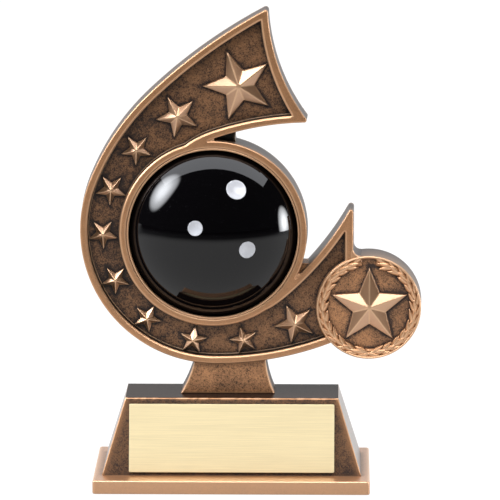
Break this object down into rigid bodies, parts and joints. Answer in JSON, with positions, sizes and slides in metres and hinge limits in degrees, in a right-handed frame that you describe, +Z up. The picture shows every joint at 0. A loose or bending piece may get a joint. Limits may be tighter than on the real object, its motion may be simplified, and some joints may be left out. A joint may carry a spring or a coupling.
{
  "type": "bowling trophy",
  "caption": "Bowling award: comet-shaped relief plaque with a half ball, stars and a star medallion, on a stepped base with an engraving plate.",
  "frame": {"origin": "middle of the underside, on the surface that the award stands on", "axes": "+Z up, the front with the plate and the ball faces -Y, +X to the right of someone facing it"},
  "size_m": [0.1266, 0.0604, 0.1777],
  "materials": {
    "antique_bronze": "cast resin with an antique bronze finish: dark brown wash, copper on the raised edges",
    "bright_bronze": "cast resin with a burnished copper-bronze finish",
    "base_bronze": "cast resin with a mottled antique copper finish",
    "ball_black": "high-gloss black",
    "pearl_white": "pearl white",
    "brushed_gold": "pale gold, brushed along its length, lacquered",
    "foam_tape": "double-sided foam tape",
    "felt": "short-pile felt",
    "zinc_steel": "zinc plated",
    "insert_brass": "plain turned brass"
  },
  "bodies": {
    "root": {"ball_bezel": "bright_bronze", "ball_dome": "ball_black", "ball_pad": "foam_tape", "band_star_01": "bright_bronze", "band_star_02": "bright_bronze", "band_star_03": "bright_bronze", "band_star_04": "bright_bronze", "band_star_05": "bright_bronze", "band_star_06": "bright_bronze", "band_star_07": "bright_bronze", "band_star_08": "bright_bronze", "band_star_09": "bright_bronze", "band_star_10": "bright_bronze", "base_block": "base_bronze", "comet_frame": "antique_bronze", "engraving_plate": "brushed_gold", "felt_pad": "felt", "foot_plinth": "base_bronze", "hold_down_nut": "zinc_steel", "hold_down_rod": "zinc_steel", "hold_down_washer": "zinc_steel", "medallion_disc": "antique_bronze", "medallion_pins": "zinc_steel", "medallion_star": "bright_bronze", "medallion_wreath": "bright_bronze", "middle_finger_inset": "pearl_white", "pedestal": "antique_bronze", "pedestal_pins": "zinc_steel", "plate_tape": "foam_tape", "ring_finger_inset": "pearl_white", "threaded_insert": "insert_brass", "thumb_hole_inset": "pearl_white"}
  },
  "joints": []
}
